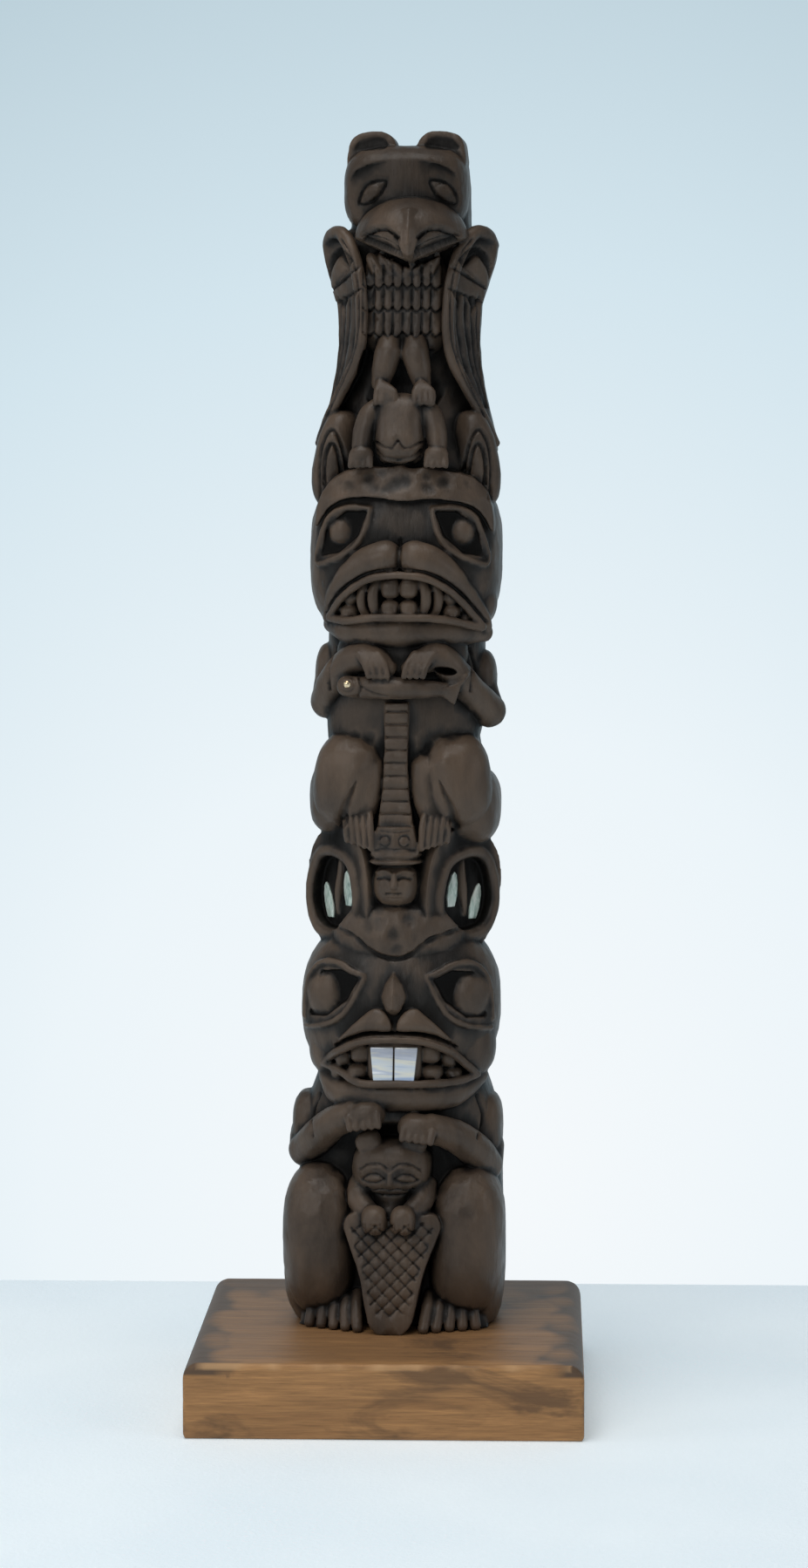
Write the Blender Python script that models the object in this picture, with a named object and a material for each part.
"""A carved model totem pole on its board, with shell inlays.

Lengths are metres, +Z up, and the front faces -Y. The origin is the middle of the board's underside.
The carving is drawn in its own units: the pole stands DRAWN_HEIGHT of them high, and every figure is
given in them as (x, out, z), with out measured towards the front from the pole's axis.
"""

import math

import bmesh
import bpy
import numpy
from mathutils import Euler, Matrix, Vector

# The board
BASE_WIDTH = 0.184
BASE_DEPTH = 0.196
BASE_HEIGHT = 0.0353
BASE_SIDE_RADIUS = 0.0072
BASE_EDGE_RADIUS = 0.0014
ROUND_PROFILE = 0.5

# The pole
POLE_HEIGHT = 0.568
POLE_BEHIND = 0.017
POLE_ASIDE = 0.0035
POLE_TURN = math.radians(-3.3)
POLE_LEAN = 0.011
SEAT_GAP = 0.0003

# The shell inlays and the fish's eye pin
INCISOR_WIDTH = 0.0108
INCISOR_LENGTH = 0.016
INCISOR_THICKNESS = 0.004
INCISOR_PARTING = 0.0008
SLIP_WIDTH = 0.0062
SLIP_LENGTH = 0.017
SLIP_THICKNESS = 0.003
INLAY_GAP = 0.0003
PIN_RADIUS = 0.0016
PIN_LENGTH = 0.005
PIN_STANDS_OUT = 0.0008

# The carving's own drawing
DRAWN_HEIGHT = 568.0
UNIT = POLE_HEIGHT / DRAWN_HEIGHT
VOXEL = 1.9 * UNIT
POLE_TRIANGLES = 8300
SIDES = (-1, 1)

# Plain solids already made
PLAIN = {}

# Where the carving takes the inlays, in its own units
TOOTH_TOP = 135.5
TOOTH_FLOOR = 40.5
EAR_ASIDE = 31.5
EAR_OUT = 19.0
EAR_TURN = math.radians(43.7)
EAR_FLOOR = -5.0
SLIP_STANDS_OUT = 1.0
SLIPS = {"inner": (-5.0, 208.0, 5.0), "outer": (9.2, 201.5, 11.0)}
EYE_ASIDE = -24.0
EYE_FRONT = 42.6
EYE_HEIGHT = 306.5


def clear_scene():
    for thing in list(bpy.data.objects):
        bpy.data.objects.remove(thing, do_unlink=True)


def material(name, colour, roughness, metallic=0.0):
    made = bpy.data.materials.new(name)
    made.use_nodes = True
    shader = made.node_tree.nodes["Principled BSDF"]
    shader.inputs["Base Color"].default_value = (*colour, 1.0)
    shader.inputs["Roughness"].default_value = roughness
    shader.inputs["Metallic"].default_value = metallic
    return made


def as_object(name, form, finish=None):
    """Turns a finished bmesh into a named object."""
    bmesh.ops.recalc_face_normals(form, faces=form.faces)
    mesh = bpy.data.meshes.new(name)
    form.to_mesh(mesh)
    form.free()
    thing = bpy.data.objects.new(name, mesh)
    bpy.context.collection.objects.link(thing)
    if finish:
        mesh.materials.append(finish)
    return thing


def settle(thing):
    """Gives an object the mesh that its modifiers make, and clears them."""
    bpy.context.view_layer.update()
    shown = thing.evaluated_get(bpy.context.evaluated_depsgraph_get())
    made = bpy.data.meshes.new_from_object(shown)
    thing.modifiers.clear()
    thing.data = made


def remesh(thing, voxel):
    """Fuses overlapping bodies into one skin of even squares."""
    skin = thing.modifiers.new("One skin", "REMESH")
    skin.mode = "VOXEL"
    skin.voxel_size = voxel


def cut(thing, cutter, operation="DIFFERENCE"):
    """Cuts an object by another one, which stays as a hidden guide."""
    cutter.hide_render = True
    cutter.display_type = "WIRE"
    knife = thing.modifiers.new("Cut", "BOOLEAN")
    knife.operation = operation
    knife.solver = "EXACT"
    knife.object = cutter


# Wood-carver's shapes


def at(x, out, z):
    """A drawn point in metres."""
    return Vector((x, -out, z)) * UNIT


def plain(kind, detail):
    """A unit ball or a unit rod, made once, with its points."""
    if (kind, detail) not in PLAIN:
        form = bmesh.new()
        if kind == "ball":
            bmesh.ops.create_icosphere(form, subdivisions=detail, radius=1.0)
        else:
            bmesh.ops.create_cone(form, cap_ends=True, segments=detail, radius1=1.0, radius2=1.0, depth=2.0)
        mesh = bpy.data.meshes.new(kind)
        form.to_mesh(mesh)
        form.free()
        PLAIN[kind, detail] = mesh, numpy.array([vert.co for vert in mesh.vertices])
    return PLAIN[kind, detail]


def stamp(form, mesh, points):
    """Adds a plain solid with its points moved."""
    mesh.vertices.foreach_set("co", points.astype(numpy.float32).ravel())
    form.from_mesh(mesh)


def blob(form, centre, half, turn=(0, 0, 0), square=2.0, fine=3):
    """Adds an egg with half sizes across, in depth and up; a square over 2 makes it boxier."""
    mesh, ways = plain("ball", fine)
    spin = numpy.array(Euler([math.radians(angle) for angle in turn]).to_matrix())
    reach = (numpy.abs(ways) ** square).sum(axis=1, keepdims=True) ** (-1.0 / square)
    egg = ways * reach * numpy.array(half)
    stamp(form, mesh, (egg @ spin.T) * UNIT + numpy.array(at(*centre)))


def on(centre, half, square, path, proud):
    """Lays a path of (x, z, radius) on the front of an egg, its middle that much proud of it."""
    stations = []
    for x, z, radius in path:
        across = abs((x - centre[0]) / half[0]) ** square
        upwards = abs((z - centre[2]) / half[2]) ** square
        front = centre[1] + half[1] * max(1 - across - upwards, 0) ** (1 / square)
        stations.append((x, front + proud, z, radius))
    return stations


def limb(form, *stations):
    """Adds a round limb that swells and tapers through stations of (x, out, z, radius)."""
    for x, out, z, radius in stations:
        blob(form, (x, out, z), (radius, radius, radius), fine=2)
    mesh, rod = plain("rod", 16)
    for first, last in zip(stations, stations[1:]):
        start, end = at(*first[:3]), at(*last[:3])
        way = end - start
        spin = numpy.array(way.to_track_quat("Z", "Y").to_matrix())
        thick = numpy.where(rod[:, 2:] < 0, first[3], last[3]) * UNIT
        points = numpy.hstack([rod[:, :2] * thick, rod[:, 2:] * way.length / 2])
        stamp(form, mesh, points @ spin.T + numpy.array((start + end) / 2))


def hull(form, *points):
    """Adds the flat-sided lump that just holds the given points."""
    corners = [form.verts.new(at(*point)) for point in points]
    made = bmesh.ops.convex_hull(form, input=corners)
    spare = [item for item in made["geom_interior"] if isinstance(item, bmesh.types.BMVert)]
    bmesh.ops.delete(form, geom=spare, context="VERTS")


def rounded(outline, steps=5):
    """A closed smooth curve through a few outline points."""
    curve = []
    count = len(outline)
    for index in range(count):
        before, start, end, after = (Vector(outline[(index + step) % count]) for step in (-1, 0, 1, 2))
        for step in range(steps):
            t = step / steps
            bend = (2 * start + (end - before) * t + (2 * before - 5 * start + 4 * end - after) * t * t
                    + (3 * start - before - 3 * end + after) * t ** 3) / 2
            curve.append(tuple(bend))
    return curve


def slab(form, outline, back, front, place=None):
    """Adds a board of outline (x, z) between two depths, the front one a number or a function of x and z."""
    ring = [form.verts.new(at(x, back, z)) for x, z in outline]
    made = bmesh.ops.extrude_face_region(form, geom=[form.faces.new(ring)])
    raised = [item for item in made["geom"] if isinstance(item, bmesh.types.BMVert)]
    for vert in raised:
        depth = front(vert.co.x / UNIT, vert.co.z / UNIT) if callable(front) else front
        vert.co.y = -depth * UNIT
    if place:
        bmesh.ops.transform(form, matrix=place, verts=ring + raised)


def mirrored(side, points):
    """The same points on one side of the centre line."""
    return [(side * point[0], *point[1:]) for point in points]


def log(form):
    """Adds the trunk behind the figures: flat-backed rounds at their heights.

    Each round has its height, half width, and how far it comes forward and goes back.
    """
    rounds = (
        (-3, 46, 30, 33), (10, 47, 31, 34), (38, 50, 32, 36), (60, 49, 30, 36), (88, 48, 28, 36),
        (104, 45, 30, 36), (118, 40, 30, 36), (132, 44, 34, 36), (152, 45, 36, 36), (172, 42, 36, 36),
        (182, 37, 32, 36), (200, 38, 26, 36), (215, 39, 24, 36), (232, 38, 24, 36), (246, 39, 26, 36),
        (262, 38, 28, 36), (279, 35, 30, 36), (292, 38, 28, 36), (318, 37, 26, 36), (338, 37, 30, 36),
        (354, 43, 34, 36), (372, 42, 34, 36), (390, 39, 34, 36), (400, 37, 30, 36), (424, 36, 24, 36),
        (446, 33, 19, 35), (465, 31, 18, 34), (484, 31.5, 18, 34), (502, 36, 17, 34), (512, 38, 16, 34),
        (517, 35, 14, 33), (520, 28, 18, 33), (540, 28, 22, 32), (552, 26.5, 20, 30), (557, 23, 14, 26),
    )
    turns = 44
    loops = []
    for z, half, front, back in rounds:
        made = bmesh.ops.create_circle(form, segments=turns, radius=1.0)
        for vert in made["verts"]:
            along, across = vert.co.x, vert.co.y
            depth, corner = (back, 3.6) if across > 0 else (front, 2.4)
            reach = (abs(along) ** corner + abs(across) ** corner) ** (-1.0 / corner)
            vert.co = at(along * reach * half, -across * reach * depth, z)
        loops.append(list({edge for vert in made["verts"] for edge in vert.link_edges}))
    for lower, upper in zip(loops, loops[1:]):
        bmesh.ops.bridge_loops(form, edges=lower + upper)
    bmesh.ops.holes_fill(form, edges=form.edges, sides=turns + 1)


def eagle(wood, cuts, inner, slits):
    """The eagle: tufted head, hooked beak, breast, folded wings and legs."""
    blob(wood, (-1.4, 6, 537.5), (29.2, 25, 20.6), square=3.4)
    blob(cuts, (-1.4, 44, 535), (26, 16.5, 15), square=2.6)
    tuft = [(26, 547), (27.4, 556), (24.5, 562.5), (16, 565), (9, 563.6), (5.2, 558.6), (7, 550)]
    for side in SIDES:
        slab(wood, rounded([(side * x - 1.2, z) for x, z in tuft]), -5, 15)
        blob(inner, (2.2 + side * 17.5, 23.5, 536), (6, 4.4, 4.2), turn=(0, side * 16, side * 14))
    blob(inner, (2.2, 22, 514), (26.5, 26.5, 20), square=2.2)
    beak = 2.8
    hull(inner, (beak - 8, 38, 527), (beak + 8, 38, 527), (beak, 45.6, 527.5), (beak - 9, 42, 517.5),
         (beak + 9, 42, 517.5), (beak, 51, 517), (beak, 52, 510), (beak, 50, 505), (beak - 5, 44, 511),
         (beak + 5, 44, 511), (beak, 43, 505))
    under = ((44, 513.5), (21, 513.5), (0, 501.5), (0, 480), (44, 480))
    for side in SIDES:
        hull(slits, *[(beak + side * x, out, z) for x, z in under for out in (29, 70)])

    blob(wood, (-1.5, 10, 484), (20.5, 16.5, 26), square=3.4)
    for side in SIDES:
        band = [(39, 2, 511, 3), (36.5, 9, 516.4, 3), (31, 16, 517, 3.2), (26.5, 22, 511, 3.4),
                (23, 25.5, 502, 3.2), (21, 27, 492, 3), (20.3, 28, 480, 2.8), (20.5, 28, 468, 2.8),
                (22.5, 27, 458, 2.8), (27, 25, 449, 2.8), (33, 20, 438, 2.6), (38, 14, 428, 2.4), (42, 8, 419, 2)]
        limb(wood, *mirrored(side, band))
        face = ((517, 32, 14, 37, -16), (512, 27, 19, 41.5, -20), (505, 24, 22, 40.5, -22),
                (494, 21.5, 24.5, 37, -22), (484, 20.5, 25, 34, -22), (466, 20.5, 25, 33.2, -22),
                (455, 23, 24, 34.3, -20), (445, 28, 21, 36, -16), (434, 34, 16, 38.5, -10), (424, 40, 10, 41, -4),
                (415, 42, 6, 42.5, 2))
        for upper, lower in zip(face, face[1:]):
            corners = []
            for z, inside, out, outside, back in (upper, lower):
                corners += [(inside, out, z), (outside, 5, z), (outside, -3, z), (outside - 3, back, z),
                            (inside - 8, back, z)]
            hull(wood, *mirrored(side, corners))
    hull(cuts, (-20, 19, 463), (17, 19, 463), (-24, 17, 446), (21, 17, 446), (-18, 45, 463), (15, 45, 463),
         (-24, 45, 446), (21, 45, 446), (-16, 18, 436), (14, 18, 436), (-16, 45, 438), (14, 45, 438))
    middle = -1.5
    for side in SIDES:
        limb(inner, (middle + side * 4.9, 24.5, 466, 4.8), (middle + side * 5.4, 26.5, 461, 5.3),
             (middle + side * 8, 27, 453, 5.3), (middle + side * 10, 27.5, 445.5, 4.6))
        for toe in range(3):
            spread = 0.8 + side * (5.2 + toe * 3.6)
            limb(inner, (middle + side * 9.6, 31, 448, 2.2), (spread, 35, 443.4, 2.1),
                 (spread + side, 35.6, 438.6, 1.8))


def frog(inner):
    """The frog, head down on the bear's forehead."""
    middle = -1.4
    blob(inner, (middle, 25.5, 424.6), (10.9, 15.5, 17), turn=(-14, 0, 0), square=3.3)
    for side in SIDES:
        limb(inner, (middle + side * 7.5, 27, 437.6, 4.2), (middle + side * 14, 30, 433, 4.7),
             (middle + side * 17.2, 32, 426, 4.4), (middle + side * 18.2, 33.5, 418, 3.9))
        blob(inner, (middle + side * 17.6, 36, 413.6), (5.6, 4.2, 3.8), square=2.4)
        for toe in range(4):
            limb(inner, (middle + side * (14 + toe * 2.5), 37.5, 413.4, 1.9),
                 (middle + side * (13 + toe * 3.1), 39.4, 408.6, 1.6))


def forehead(wood, outline, front):
    """Adds a forehead standing proud of the face below it: its outline and its front as a function."""
    hull(wood, *[(x, out, z) for x, z in outline for out in (10, front(x, z))])


def bear_head(wood, cuts, inner):
    """The bear's ears, forehead, muzzle, mouth and eyes; the mouth droops further at the right."""
    head = ((0, 4, 366), (45.2, 35, 41), 3.1)
    blob(wood, *head[:2], square=head[2])
    blob(wood, (0, 18, 394), (36, 17, 14), square=2.4)
    forehead(wood, [(-41, 380), (-35, 388.5), (-26, 393.4), (0, 392.6), (28, 391.6), (37, 387), (43, 377), (40, 396),
                    (27, 405), (0, 408), (-26, 406), (-38, 396)],
             lambda x, z: 42.4 - 0.0072 * x * x - 0.5 * max(z - 393, 0))
    blob(wood, (27, 14, 344), (17, 16, 13), square=2.4)
    for side in SIDES:
        ear = side * (33 + side * 0.6)
        blob(wood, (ear, 16, 411.5), (8.6, 11, 23.2), turn=(-4, side * -11, side * 42), square=2.5)
        blob(cuts, (ear + side * 3, 24.5, 411), (2.6, 4, 14), turn=(-4, side * -11, side * 42))
        socket = ((15.5, 387.2), (26, 387.2), (35, 381), (38.6, 366), (29, 367.5), (20, 375.5))
        hull(cuts, *[(side * x, out, z) for x, z in socket for out in (50, 33 - 0.3 * max(x - 16, 0))])
        blob(inner, (side * 27.4, 27.2, 377.8), (6.6, 8.2, 7.2), turn=(0, side * 14, side * 24))
        lids = [(14.6, 388.4, 1.7), (26, 388.8, 1.9), (35, 383, 2), (40.6, 363.6, 1.8), (31, 365, 2), (22, 370.4, 2),
                (16.6, 379, 1.8), (14.6, 388.4, 1.7)]
        limb(inner, *mirrored(side, on(*head, lids, -0.3)))
    for side, end_x, end_z in ((-1, 35, 335), (1, 39.5, 331)):
        limb(inner, *mirrored(side, [(6.8, 41, 365.8, 8), (15, 40, 363.2, 7.6), (23, 36.5, 357.4, 6.4),
                                     (30, 31.5, 349.4, 5), (end_x - 2, 26, end_z + 7, 3.8),
                                     (end_x, 22, end_z + 2, 3)]))
        limb(inner, *mirrored(side, [(0, 47.6, 357.8, 2), (12, 46.4, 356.4, 2), (21, 42.8, 352, 2),
                                     (28.5, 37.2, 345.6, 2), (end_x - 1, 29, end_z + 2.4, 2)]))
        limb(inner, *mirrored(side, [(0, 44.4, 337.8, 2.1), (14, 43, 337.6, 2.1), (25, 38, 336, 2.1),
                                     (end_x - 1, 29, end_z + 2.2, 2)]))
        mouth = ((0, 339.2, 34), (0, 356.8, 34), (10, 356.4, 34), (20, 352.4, 31.5), (28, 346.2, 27),
                 (end_x - 3, end_z + 4, 23), (end_x - 6, end_z + 3.2, 23.5), (22, 337.6, 30.5))
        hull(cuts, *[(side * x, out, z) for x, z, floor in mouth for out in (floor, 60)])
        limb(wood, *mirrored(side, [(0, 34, 331, 8), (22, 28.5, 331, 7), (end_x, 18, end_z - 1, 5.6)]))
        blob(inner, (side * 4.9, 37.6, 351.4), (4.6, 7, 4.8), square=4)
        blob(inner, (side * 4.8, 37.4, 342), (4.5, 7, 3.8), square=3.6)
        limb(inner, *mirrored(side, [(10.6, 39.5, 355.5, 2), (13.8, 42, 349.6, 2.2), (13.4, 41.4, 343, 2.1),
                                     (10.6, 39, 338, 1.8)]))
        limb(inner, *mirrored(side, [(15.6, 37.6, 354.6, 1.9), (19, 39.6, 348.4, 2.1), (18.6, 38.4, 342, 2),
                                     (15.6, 36.4, 337.4, 1.7)]))
        blob(inner, (side * 24.4, 32.8, 347.4), (3.8, 6, 4), square=2.8)
        blob(inner, (side * 25.4, 31, 340.4), (5, 6, 3.2), square=2.8)


def bear_body(wood, cuts, inner, slits):
    """The bear's arms, the fish it holds, its belly and its drawn-up legs."""
    blob(wood, (0, 8, 290), (36.5, 23, 36), square=2.6)
    blob(wood, (0, 21, 320), (31, 14, 13), square=2.6)
    blob(wood, (0, 30, 317), (14, 8, 9), square=2.6)
    for side, elbow, reach, shoulder in ((-1, 296.5, 36.6, 309), (1, 292.5, 40.6, 306)):
        blob(wood, (side * 36.6, 0, shoulder), (6.8, 12, 15), square=2.4)
        limb(wood, *mirrored(side, [(35.5, 2, 315, 6.4), (37, 4, 303, 7), (reach, 8, elbow, 7.2)]))
        limb(inner, *mirrored(side, [(reach, 11, elbow, 8), (33, 21, elbow + 9, 7.6), (26.5, 29.5, elbow + 18, 7.2),
                                     (19, 34.5, 318.6, 6.8), (12.5, 37, 318, 6)]))
        for finger in range(4):
            start = side * (5.4 + finger * 3) - 1
            limb(inner, (start + side * 3.4, 40.6, 320.5, 2.2), (start, 43.4, 315.8, 1.8),
                 (start - side * 1.6, 44, 310.4, 1.5))
    blob(slits, (21.6, 44, 312.6), (6.4, 15, 2.4), turn=(0, 6, 0))

    limb(inner, (-24.5, 37.5, 305.3, 4.9), (-18, 38.5, 304.8, 5), (-8, 39.5, 304.8, 5.3), (3, 39.5, 304.6, 5),
         (13, 38.8, 304.2, 4.2), (21, 37, 304, 3))
    hull(inner, (19, 36, 306.5), (33, 33, 311.5), (28, 33, 304.4), (19, 39, 302), (33, 36.5, 311.5), (28, 37, 304.4))
    hull(inner, (19, 36, 306), (26, 33, 296.5), (28.4, 33, 304), (19, 39, 302), (26, 36.5, 296.5), (28.4, 37, 304))

    slab(inner, [(-7, 300), (4, 300), (4, 266), (5.5, 252), (8, 238), (-11, 238), (-8.5, 252), (-7, 266)], 15, 33.6)
    for side, aside, seat in ((-1, 0, 251), (1, 1.6, 247)):
        blob(wood, (side * (23 + aside), 17, 260), (17, 21, 23), turn=(0, side * -6, side * 18), square=2.6)
        blob(wood, (side * (31 + aside), 4, seat), (13.5, 24, 18), square=2.8)
        limb(wood, *mirrored(side, [(14.5, 27, 266, 7.5), (15, 28, 255, 7.6), (17.5, 28, 244, 6.4)]))
        for toe in range(5):
            across = side * (11.6 + toe * 2.7) - 0.4
            limb(inner, (across, 30, 244, 2.2), (across, 34.5 - toe * 0.7, 237, 2),
                 (across - side * 0.4, 35 - toe * 1.1, 227.4 + toe * 0.9, 1.7))


def hatted_head(wood, inner):
    """The head with the flared hat between the beaver's ears."""
    middle = -1.0
    slab(inner, [(middle - 8.5, 238.5), (middle + 8.5, 238.5), (middle + 11.8, 226), (middle - 11.8, 226)], 10,
         lambda x, z: 39.5 - 5.5 * ((x - middle) / 12) ** 2 + (238 - z) * 0.12)
    blob(inner, (middle, 24, 225.6), (13.2, 18, 1.7), square=2.6)
    blob(inner, (middle, 24, 222.6), (13.6, 18.5, 1.8), square=2.6)
    blob(inner, (middle, 24, 212.5), (12, 16.5, 10.5), square=2.5)
    limb(inner, (middle, 39.5, 217, 1), (middle, 41, 211.5, 1.9))


def ear_place(side):
    """The beaver's ear, turned half outwards: its own x runs from the head outwards and back."""
    return Matrix.Translation(at(side * EAR_ASIDE, EAR_OUT, 0)) @ Matrix.Rotation(side * EAR_TURN, 4, "Z")


def beaver_ears(wood, cuts):
    """The beaver's tall ears, each a thick rim round a flat-floored hollow."""
    front = [(-18, 182), (-24, 197), (-23, 217), (-17, 232), (-8, 236.5), (6, 236)]
    back = {-1: [(15, 229), (19, 216), (16.6, 200), (10.6, 184), (0, 176)],
            1: [(16.4, 229), (21, 216), (19.4, 200), (12.4, 184), (0, 176)]}
    hollow = [(-13, 197), (-14, 208), (-9.5, 220), (0, 224.5), (9, 223), (14, 213), (14.5, 200), (9, 190.5),
              (-4, 189)]
    for side in SIDES:
        place = ear_place(side)
        slab(wood, rounded(mirrored(side, front + back[side])), -30, 1, place)
        slab(cuts, rounded(mirrored(side, hollow)), EAR_FLOOR, 20, place)


def beaver_head(wood, cuts, inner):
    """The beaver's forehead, eyes, nose, cheeks and mouth; the mouth droops further at the right."""
    head = ((0, 6, 152), (47.5, 34, 43), 2.5)
    blob(wood, *head[:2], square=head[2])
    blob(wood, (0, 12, 186), (32.5, 25, 21), square=2.5)
    forehead(wood, [(-29, 191), (-14, 182.6), (-6, 178.6), (1, 177.6), (7, 179.8), (14.5, 185.6), (29, 191), (24, 199),
                    (12, 204), (0, 205), (-12, 204), (-24, 199)],
             lambda x, z: 40.2 - 0.010 * x * x - 0.42 * (z - 178))
    for side in SIDES:
        socket = ((17.5, 167), (26, 171), (36, 170), (42.5, 160), (42.5, 147), (33, 148.5), (23, 156.5))
        hull(cuts, *[(side * x, out, z) for x, z in socket for out in (50, 33 - 0.62 * max(x - 18, 0))])
        blob(inner, (side * 32.4, 22, 159), (9.6, 10.8, 11.4), turn=(0, side * 8, side * 36))
        upper = [(11.5, 168.4, 1.6), (19, 170, 2), (28, 174, 2.2), (37, 173, 2.2), (43, 164, 2), (45, 147, 1.8)]
        under = [(15, 167.4, 1.6), (19.5, 158, 2), (25.5, 149.4, 2), (34, 144.6, 2), (44.5, 142.4, 1.8)]
        limb(inner, *mirrored(side, on(*head, upper, -0.3)))
        limb(inner, *mirrored(side, on(*head, under, -0.4)))
    hull(inner, (-1, 36, 172), (-7.4, 36, 160), (6.4, 36, 160), (-0.6, 38, 149), (-4.6, 40.6, 165), (3, 40.6, 165),
         (-1, 43.4, 168), (-0.8, 48, 160), (-0.7, 48.4, 154), (-6, 42.4, 159), (5, 42.4, 159), (-4, 44, 152.6),
         (2.8, 44, 152.6))
    leaf = ((1.4, 144), (2.2, 148), (5, 151.8), (8.5, 153.2), (12, 152), (18.5, 146.4), (26.8, 137.8), (20, 141))
    for side, end_x, end_z, jaw in ((-1, 36, 125, 23), (1, 39.5, 120.6, 26)):
        blob(wood, (side * jaw, 12, 133), (20, 18, 14), square=2.4)
        hull(inner, *[(side * x, out, z) for x, z in leaf
                      for out in (30, 46.2 - 0.0112 * x * x - 0.3 * max(z - 147, 0))])
        limb(inner, *mirrored(side, [(0, 46.6, 139.4, 2), (14, 44.6, 138.2, 2), (26, 38.5, 133, 2),
                                     (end_x - 4, 31.5, end_z + 4.4, 2), (end_x, 26, end_z, 1.9)]))
        limb(inner, *mirrored(side, [(0, 44.6, 118, 2.1), (16, 42.4, 118, 2.1), (end_x - 9, 34, end_z - 2.6, 2),
                                     (end_x, 26, end_z, 1.9)]))
        mouth = ((0, 120, 36), (0, 137.8, 36), (12, 137.4, 35), (25, 132.6, 29), (end_x - 3, end_z + 0.6, 23),
                 (end_x - 10, end_z - 0.6, 28), (14, 120, 35))
        hull(cuts, *[(side * x, out, z) for x, z, floor in mouth for out in (floor, 60)])
        limb(wood, *mirrored(side, [(0, 36, 111.5, 7.5), (14, 34.5, 111.5, 7.5), (27, 27.5, 112.5, 7),
                                    (end_x, 15, end_z - 2, 5.6)]))
        blob(inner, (side * 17.6, 31.6, 131.4), (5.2, 8.5, 4.6), square=3.2)
        blob(inner, (side * 26.6, 25.8, 128), (4.4, 8.5, 4.2), square=3)
        blob(inner, (side * 20.5, 29.5, 122), (7.5, 9, 3.6), square=3)
    blob(inner, (0, 33, 128), (12.6, 9, 10), square=6)
    blob(wood, (0, 22, 112), (24, 17, 9.5), square=2.4)


def beaver_body(wood, cuts, inner):
    """The beaver's arms, folded over the small creature, and its legs and feet."""
    blob(cuts, (0, 46, 84), (27, 22, 18), square=2.6)
    for side, elbow, hand, knee in ((-1, 81, -13.5, 36), (1, 75, 11.5, 31)):
        shoulder = side * (43 - side * 1.5)
        blob(wood, (shoulder, 1, 91), (7.5, 15, 17.5), square=2.8)
        limb(wood, (shoulder + side, 4, elbow + 8, 7.5), (shoulder + side, 11, elbow, 7.5))
        limb(inner, (shoulder + side * 0.5, 13, elbow, 8), (side * 37.5, 23, elbow + 8.5, 8.2),
             (side * 28.5, 33, elbow + 17, 7.6), (hand + side * 6, 39, elbow + 21.4, 7))
        blob(inner, (hand, 40, elbow + 21.6), (9.6, 8, 6.8), turn=(0, side * 10, 0), square=2.3)
        for finger in range(5):
            across = hand + side * (finger * 3.4 - 6.6)
            limb(inner, (across + side * 0.6, 45.4, elbow + 23 - finger * 0.5, 2),
                 (across - side * 0.4, 47.2, elbow + 17.6 - finger * 0.4, 1.7))
        blob(wood, (side * 41 - 1.6, 8, knee), (12, 26, 36), square=2.8)
        blob(wood, (side * 35 - 1, 20, 36), (18, 25, 41), turn=(0, side * 2, 0), square=2.7)
        hull(wood, *mirrored(side, [(45, 0, -3), (45, 34, -3), (38, 40, -3), (24, 44, -3), (14, 42, -3), (14, 0, -3),
                                    (44, 30, 9), (36, 37, 12), (22, 39, 13), (15, 36, 12), (15, 0, 11)]))
        for toe in range(5):
            limb(inner, (side * (17 + toe * 5.4), 38 - toe * 1.6, 11 - toe * 0.5, 3),
                 (side * (16 + toe * 5.6), 43.5 - toe * 1.7, 6, 2.9),
                 (side * (15.5 + toe * 5.4), 46 - toe * 1.5, 0.5, 2.6))


def small_creature(inner):
    """The small creature between the beaver's arms, its fists on the tail."""
    middle = -1.5
    blob(inner, (middle, 27, 75), (18.5, 16, 12.5), square=2.8)
    limb(inner, (middle, 24, 66, 15), (middle, 30, 54, 9))
    for side in SIDES:
        blob(inner, (middle + side * 11.5, 34, 88), (5, 4.5, 6.5), turn=(0, side * 12, side * 10), square=2.4)
        limb(inner, (middle + side * 16, 30, 68, 5.5), (middle + side * 14.5, 38, 60, 5.2),
             (middle + side * 8, 43, 55, 4.6))
        blob(inner, (middle + side * 6.6, 47, 53), (5.4, 6, 6.2), square=2.5)


def tail(inner):
    """The broad tail, swelling forwards to its tip on the board."""
    half = [(20, 41), (15, 27.5), (12, 13), (9, 3)]
    outline = [(19, 56), (23, 50), *half, (0, -3), *reversed(mirrored(-1, half)), (-23, 50), (-19, 56), (0, 53)]

    def front(x, z):
        return 52.5 - 6.5 * (max(z, 0) / 55) ** 1.4 - 3 * (x / 22) ** 2

    slab(inner, rounded(outline), 20, front)


def tooth_outline(side, grow):
    """An incisor, wider at the top, as (x, z) in drawing units, grown all round by a clearance."""
    inner_edge = INCISOR_PARTING / 2 / UNIT - grow
    top, low = TOOTH_TOP + grow, TOOTH_TOP - INCISOR_LENGTH / UNIT - grow
    width = INCISOR_WIDTH / UNIT + 2 * grow
    return mirrored(side, [(inner_edge, top), (inner_edge + width, top), (inner_edge + 0.86 * width, low),
                           (inner_edge, low)])


def slip_outline(side, which, grow):
    """An ear slip, pointed above and square below, grown all round by a clearance."""
    across, middle, lean = SLIPS[which]
    half = SLIP_WIDTH / UNIT / 2 + grow
    reach = SLIP_LENGTH / UNIT / 2 + grow
    shape = [(-0.7, -1), (0.7, -1), (1, -0.4), (0.95, 0.3), (0.6, 0.8), (0.15, 1), (-0.35, 0.8), (-0.85, 0.2),
             (-1, -0.4)]
    tilt = math.tan(math.radians(lean))
    return mirrored(side, [(across + x * half + z * reach * tilt, middle + z * reach) for x, z in shape])


def inlay_body(form, outline, floor, thickness, place, grow=0.0, reach=0.0):
    """Adds an inlay, or with a growth and a reach forwards the pocket that takes it."""
    slab(form, outline, floor - grow, floor + thickness / UNIT + reach, place)


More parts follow.
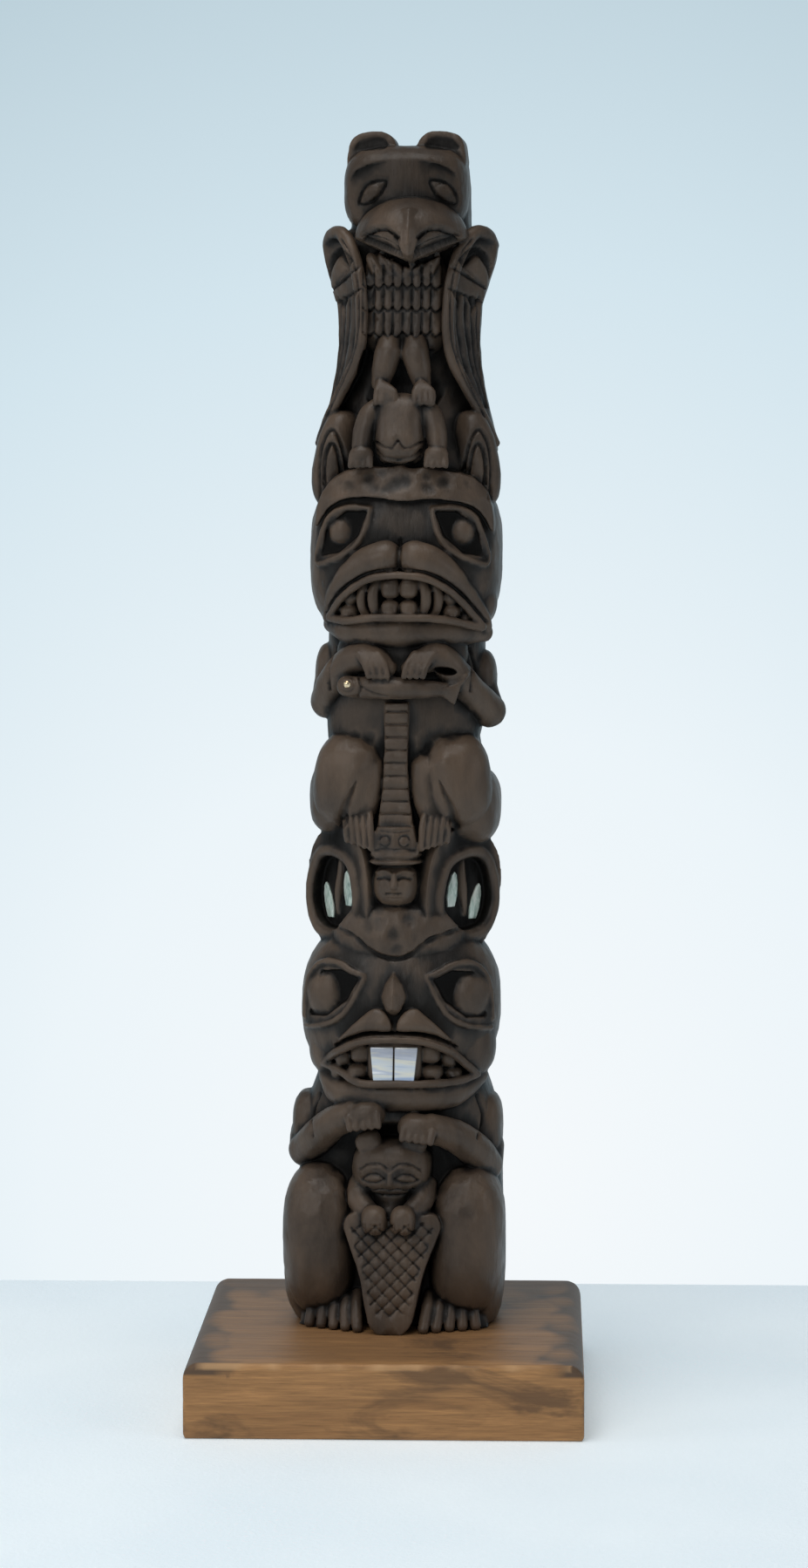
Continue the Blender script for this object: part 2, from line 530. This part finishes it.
def pin(form, grow, reach):
    """Adds the fish's eye pin, or its hole."""
    front = EYE_FRONT * UNIT + PIN_STANDS_OUT + reach
    length = PIN_LENGTH + reach + grow
    place = Matrix.Translation((EYE_ASIDE * UNIT, length / 2 - front, EYE_HEIGHT * UNIT)) @ Matrix.Rotation(
        math.radians(90), 4, "X")
    bmesh.ops.create_cone(
        form, cap_ends=True, segments=20, radius1=PIN_RADIUS + grow, radius2=PIN_RADIUS + grow,
        depth=length, matrix=place)


def pockets():
    """The cutter for every inlay's pocket, the pin's hole and the pole's flat foot."""
    form = bmesh.new()
    grow = INLAY_GAP / UNIT
    for side in SIDES:
        inlay_body(form, tooth_outline(side, grow), TOOTH_FLOOR, INCISOR_THICKNESS, None, grow, 12)
        for which in SLIPS:
            inlay_body(form, slip_outline(side, which, grow), slip_floor(), SLIP_THICKNESS, ear_place(side), grow, 6)
    pin(form, INLAY_GAP, 0.006)
    block = 2 * BASE_WIDTH
    bmesh.ops.create_cube(form, size=block, matrix=Matrix.Translation((0, 0, -block / 2)))
    return as_object("pockets", form)


def slip_floor():
    """The depth in the ear where a slip's back lies."""
    return EAR_FLOOR + SLIP_STANDS_OUT - SLIP_THICKNESS / UNIT


def carve_pole():
    """Carves the pole: rough figures, then the hollows, then what is left standing in them."""
    wood, cuts, inner, slits = bmesh.new(), bmesh.new(), bmesh.new(), bmesh.new()
    log(wood)
    eagle(wood, cuts, inner, slits)
    frog(inner)
    bear_head(wood, cuts, inner)
    bear_body(wood, cuts, inner, slits)
    hatted_head(wood, inner)
    beaver_ears(wood, cuts)
    beaver_head(wood, cuts, inner)
    beaver_body(wood, cuts, inner)
    small_creature(inner)
    tail(inner)

    pole = as_object("pole", wood, material("stained wood", (0.06, 0.045, 0.035), 0.45))
    hollows, standing, last_cuts = as_object("hollows", cuts), as_object("standing", inner), as_object("slits", slits)
    for rough in (pole, hollows, last_cuts):
        remesh(rough, VOXEL)
        settle(rough)
    cut(pole, hollows)
    settle(pole)
    rough = bmesh.new()
    rough.from_mesh(pole.data)
    rough.from_mesh(standing.data)
    rough.to_mesh(pole.data)
    rough.free()
    remesh(pole, VOXEL)
    settle(pole)
    cut(pole, last_cuts)
    settle(pole)
    for rough in (hollows, standing, last_cuts):
        bpy.data.objects.remove(rough)
    remesh(pole, VOXEL)
    knife_marks = pole.modifiers.new("Knife marks", "SMOOTH")
    knife_marks.factor = 0.5
    knife_marks.iterations = 2
    settle(pole)
    thin = pole.modifiers.new("Fewer faces", "DECIMATE")
    thin.ratio = POLE_TRIANGLES / (2 * len(pole.data.polygons))
    settle(pole)
    return pole


def lean(thing):
    """Leans a carved piece's mesh sideways with its height, as the pole leans."""
    for vert in thing.data.vertices:
        vert.co.x += POLE_LEAN * vert.co.z


def board():
    """The base board: its two side edges are planed round, the others only broken."""
    half_width, turns = BASE_WIDTH / 2, 5
    outline = [(half_width, 0), (-half_width, 0)]
    for side, first, last in ((-1, math.pi, math.pi / 2), (1, math.pi / 2, 0)):
        for step in range(turns + 1):
            angle = first + (last - first) * step / turns
            outline.append((side * (half_width - BASE_SIDE_RADIUS) + BASE_SIDE_RADIUS * math.cos(angle),
                            BASE_HEIGHT - BASE_SIDE_RADIUS + BASE_SIDE_RADIUS * math.sin(angle)))
    form = bmesh.new()
    end = form.faces.new([form.verts.new((x, -BASE_DEPTH / 2, z)) for x, z in outline])
    made = bmesh.ops.extrude_face_region(form, geom=[end])
    moved = [item for item in made["geom"] if isinstance(item, bmesh.types.BMVert)]
    bmesh.ops.translate(form, verts=moved, vec=(0, BASE_DEPTH, 0))
    bmesh.ops.recalc_face_normals(form, faces=form.faces)
    ends = {edge for face in form.faces if len(face.verts) > 4 for edge in face.edges}
    bmesh.ops.bevel(form, geom=list(ends), offset=BASE_EDGE_RADIUS, segments=2, profile=ROUND_PROFILE,
                    affect="EDGES", material=-1)
    return as_object("base", form, material("board wood", (0.28, 0.15, 0.07), 0.55))


def assemble():
    clear_scene()
    board()
    stand = bpy.data.objects.new("pole_place", None)
    bpy.context.collection.objects.link(stand)
    stand.location = (POLE_ASIDE, POLE_BEHIND, BASE_HEIGHT + SEAT_GAP)
    stand.rotation_euler.z = POLE_TURN

    pole = carve_pole()
    cutter = pockets()
    cut(pole, cutter)
    settle(pole)
    bpy.data.objects.remove(cutter)
    pieces = [pole]

    shell = material("shell", (0.62, 0.66, 0.64), 0.25)
    for side, hand in zip(SIDES, ("left", "right")):
        form = bmesh.new()
        inlay_body(form, tooth_outline(side, 0), TOOTH_FLOOR, INCISOR_THICKNESS, None)
        pieces.append(as_object(f"incisor_{hand}", form, shell))
        for which in SLIPS:
            form = bmesh.new()
            inlay_body(form, slip_outline(side, which, 0), slip_floor(), SLIP_THICKNESS, ear_place(side))
            pieces.append(as_object(f"ear_inlay_{hand}_{which}", form, shell))
    form = bmesh.new()
    pin(form, 0, 0)
    pieces.append(as_object("fish_eye", form, material("bright brass", (0.8, 0.65, 0.4), 0.25, 1.0)))
    for piece in pieces:
        lean(piece)
        piece.parent = stand


assemble()
